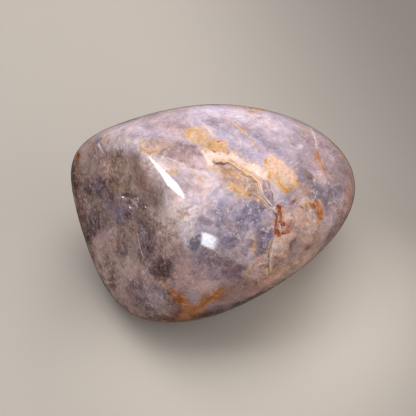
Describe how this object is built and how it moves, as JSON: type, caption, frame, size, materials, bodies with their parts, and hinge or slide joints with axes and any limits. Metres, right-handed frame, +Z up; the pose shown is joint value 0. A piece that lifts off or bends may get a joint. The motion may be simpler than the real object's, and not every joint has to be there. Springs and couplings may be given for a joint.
{
  "type": "polished blue rose quartz free-form",
  "caption": "Palm-sized polished quartz stone, one end sawn flat, lying on its side on a small resting flat, with a broken ledge and healed cracks.",
  "frame": {"origin": "on the small flat that the stone rests on, under the middle of the cobble", "axes": "+Z up as it lies, +X along the stone towards its narrow end, the sawn end faces mostly -X and a little up"},
  "size_m": [0.0888, 0.0755, 0.0646],
  "materials": {
    "quartz": "polished, mottled lavender pink to blue grey with iron stains"
  },
  "bodies": {
    "root": {"quartz_stone": "quartz"}
  },
  "joints": []
}
